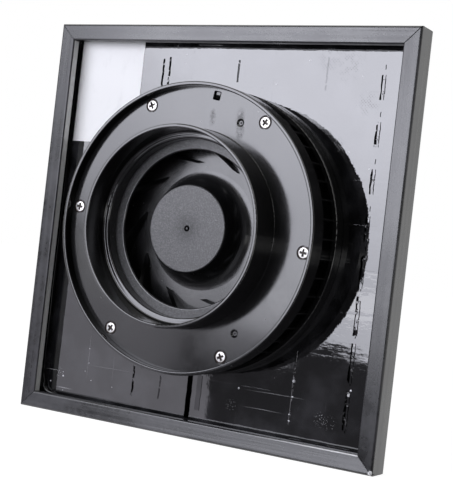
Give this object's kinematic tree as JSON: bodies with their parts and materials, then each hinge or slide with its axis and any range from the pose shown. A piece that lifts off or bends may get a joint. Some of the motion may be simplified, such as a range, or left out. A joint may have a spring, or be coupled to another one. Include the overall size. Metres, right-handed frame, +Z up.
{
  "type": "solar attic fan",
  "caption": "Framed solar panel whose back carries a louvred fan housing with a flanged round intake spigot and a centrifugal impeller that the panel drives.",
  "frame": {"origin": "on the fan axis in the plane of the roof seat, which is the top of the flange rim", "axes": "-Y along the fan axis out of the spigot, +Z up the panel, +X to the right seen from the intake side"},
  "size_m": [0.24, 0.0573, 0.24],
  "materials": {
    "frame_anodised": "black anodised, satin",
    "corner_key": "mill finish",
    "glass": "clear tempered",
    "cell": "dark blue silicon",
    "ribbon": "tinned",
    "encapsulant": "black",
    "backsheet": "high gloss black film",
    "tape": "foam",
    "sealant": "glossy silicone",
    "label": "white film",
    "copper": "bare copper",
    "lead": "insulated",
    "bond": "adhesive",
    "housing": "moulded, glossy",
    "flange": "moulded, glossy",
    "screw": "nickel plated",
    "motor_plastic": "moulded",
    "bearing_steel": "ground",
    "lamination": "stacked sheet",
    "board": "solder mask",
    "component": "moulded",
    "impeller": "spark-eroded texture",
    "yoke": "zinc plated",
    "magnet": "bonded ferrite"
  },
  "bodies": {
    "panel_housing": {"frame_top": "frame_anodised", "frame_bottom": "frame_anodised", "frame_left": "frame_anodised", "frame_right": "frame_anodised", "corner_keys": "corner_key", "cover_glass": "glass", "solar_cells": "cell", "cell_ribbons": "ribbon", "encapsulant": "encapsulant", "backsheet": "backsheet", "edge_tape": "tape", "edge_sealant": "sealant", "rating_label": "label", "solder_tabs": "copper", "motor_leads": "lead", "bonding_ring": "bond", "louvred_housing": "housing", "intake_flange": "flange", "intake_collar": "flange", "flange_screws": "screw", "motor_base": "motor_plastic", "motor_screws": "screw", "motor_bearings": "bearing_steel", "stator_core": "lamination", "stator_coils": "copper", "circuit_board": "board", "board_components": "component"},
    "rotor": {"impeller_wheel": "impeller", "impeller_shroud": "impeller", "rotor_yoke": "yoke", "magnet_ring": "magnet", "motor_shaft": "bearing_steel", "shaft_clip": "bearing_steel"}
  },
  "joints": [
    {"name": "impeller_spin", "type": "hinge", "parent": "panel_housing", "child": "rotor", "pos_m": [0, 0, 0], "axis": [0, 1, 0], "continuous": true}
  ]
}
